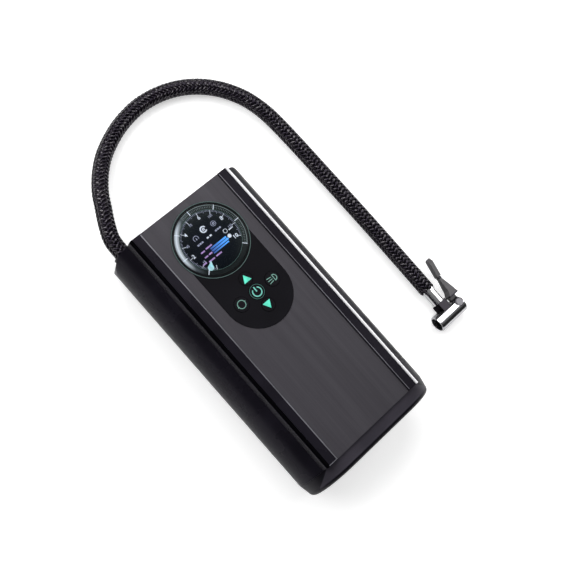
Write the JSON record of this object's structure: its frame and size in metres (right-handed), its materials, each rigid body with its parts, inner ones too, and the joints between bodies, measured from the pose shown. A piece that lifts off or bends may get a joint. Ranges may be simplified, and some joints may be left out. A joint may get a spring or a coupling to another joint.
{
  "type": "portable tire inflator",
  "caption": "Cordless hand-held tire inflator with a round domed display, a key pod, and a braided hose ending in a lever chuck for tire valves.",
  "frame": {"origin": "on the surface that the flat back rests on, midway across the body and 80 mm from its hose end", "axes": "+X to the right of the display, +Y along the body towards the hose end, +Z out of the display"},
  "size_m": [0.1537, 0.2358, 0.0509],
  "materials": {
    "housing_black": "satin black",
    "plate_grey": "brushed and anodised dark grey",
    "cap_grey": "satin dark grey",
    "trim_bright": "polished",
    "trim_black": "gloss black",
    "gloss_black": "gloss black",
    "key_black": "gloss black with lit marks",
    "lens_clear": "clear dome",
    "screen": "lit screen",
    "lamp_clear": "frosted",
    "rubber_black": "matt",
    "dark_steel": "blackened",
    "steel": "bright",
    "brass": "satin",
    "cast_alloy": "as cast",
    "inner_black": "matt",
    "gear_white": "moulded",
    "white_plastic": "matt",
    "board_green": "solder mask",
    "tube_clear": "translucent silicone",
    "cell_wrap": "shrink wrap",
    "hose_braid": "woven black",
    "chrome": "polished",
    "dark_chrome": "dark nickel",
    "lever_grey": "satin dark grey"
  },
  "bodies": {
    "casing": {"housing": "housing_black", "back_cover": "housing_black", "back_screws": "dark_steel", "front_plate": "plate_grey", "trim_left": "trim_black", "trim_right": "trim_bright", "bottom_cap": "cap_grey", "cap_screws": "dark_steel", "base_pad": "rubber_black", "display_lens": "lens_clear", "display_bezel": "gloss_black", "display_module": "screen", "key_pod": "gloss_black", "key_switches": "steel", "display_board": "board_green", "board_screws": "steel", "main_board": "board_green", "charging_port": "steel", "lamp_lens": "lamp_clear", "lamp_board": "white_plastic", "motor_can": "steel", "motor_end_cap": "inner_black", "compressor_frame": "cast_alloy", "gear_axle": "steel", "pump_cylinder": "cast_alloy", "cylinder_head": "cast_alloy", "outlet_reed": "steel", "head_screws": "steel", "air_tube": "tube_clear", "pressure_sensor": "inner_black", "rubber_mounts": "rubber_black", "mount_screws": "steel", "battery_cell_1": "cell_wrap", "battery_cell_2": "cell_wrap", "battery_cell_3": "cell_wrap", "battery_cradle": "inner_black", "battery_strips": "steel", "hose_gland": "inner_black", "gland_nut": "brass", "hose": "hose_braid", "chuck_stem": "chrome", "chuck_collar": "dark_chrome", "chuck_barrel": "chrome", "chuck_gasket": "rubber_black", "lever_pin": "chrome"},
    "key_power": {"key_power": "key_black"},
    "key_up": {"key_up": "key_black"},
    "key_down": {"key_down": "key_black"},
    "key_mode": {"key_mode": "key_black"},
    "key_lamp": {"key_lamp": "key_black"},
    "crank": {"crank_gear": "gear_white", "crank_pin": "steel"},
    "rotor": {"motor_shaft": "steel", "pinion": "brass"},
    "rod": {"connecting_rod": "cast_alloy", "wrist_pin": "steel"},
    "piston": {"piston": "cast_alloy", "piston_seal": "rubber_black"},
    "lever": {"chuck_lever": "lever_grey"},
    "plunger": {"chuck_plunger": "brass"}
  },
  "joints": [
    {"name": "key_power_press", "type": "slide", "parent": "casing", "child": "key_power", "axis": [0, 0, -1], "range_m": [0, 0.0006], "stiffness_N_per_m": 1200, "springref_m": -0.0002},
    {"name": "key_up_press", "type": "slide", "parent": "casing", "child": "key_up", "axis": [0, 0, -1], "range_m": [0, 0.0006], "stiffness_N_per_m": 1200, "springref_m": -0.0002},
    {"name": "key_down_press", "type": "slide", "parent": "casing", "child": "key_down", "axis": [0, 0, -1], "range_m": [0, 0.0006], "stiffness_N_per_m": 1200, "springref_m": -0.0002},
    {"name": "key_mode_press", "type": "slide", "parent": "casing", "child": "key_mode", "axis": [0, 0, -1], "range_m": [0, 0.0006], "stiffness_N_per_m": 1200, "springref_m": -0.0002},
    {"name": "key_lamp_press", "type": "slide", "parent": "casing", "child": "key_lamp", "axis": [0, 0, -1], "range_m": [0, 0.0006], "stiffness_N_per_m": 1200, "springref_m": -0.0002},
    {"name": "crank_turn", "type": "hinge", "parent": "casing", "child": "crank", "pos_m": [0.0145, 0.0052, 0.019], "axis": [1, 0, 0], "continuous": true},
    {"name": "motor_turn", "type": "hinge", "parent": "casing", "child": "rotor", "pos_m": [0.0145, -0.014, 0.019], "axis": [1, 0, 0], "continuous": true},
    {"name": "rod_turn", "type": "hinge", "parent": "crank", "child": "rod", "pos_m": [0.024, 0.0087, 0.019], "axis": [1, 0, 0], "continuous": true},
    {"name": "piston_stroke", "type": "slide", "parent": "casing", "child": "piston", "axis": [0, -1, 0], "range_m": [0, 0.007]},
    {"name": "lever_swing", "type": "hinge", "parent": "casing", "child": "lever", "pos_m": [0.1018, -0.0612, 0.0052], "axis": [0, 0, -1], "range_deg": [0, 90]},
    {"name": "plunger_travel", "type": "slide", "parent": "casing", "child": "plunger", "axis": [-1, 0, 0], "range_m": [0, 0.0012]}
  ],
  "couplings": [
    {"joint": "motor_turn", "follows": "crank_turn", "ratio": -3},
    {"joint": "rod_turn", "follows": "crank_turn", "ratio": -1},
    {"joint": "plunger_travel", "follows": "lever_swing", "m_per_rad": 0.00076}
  ]
}
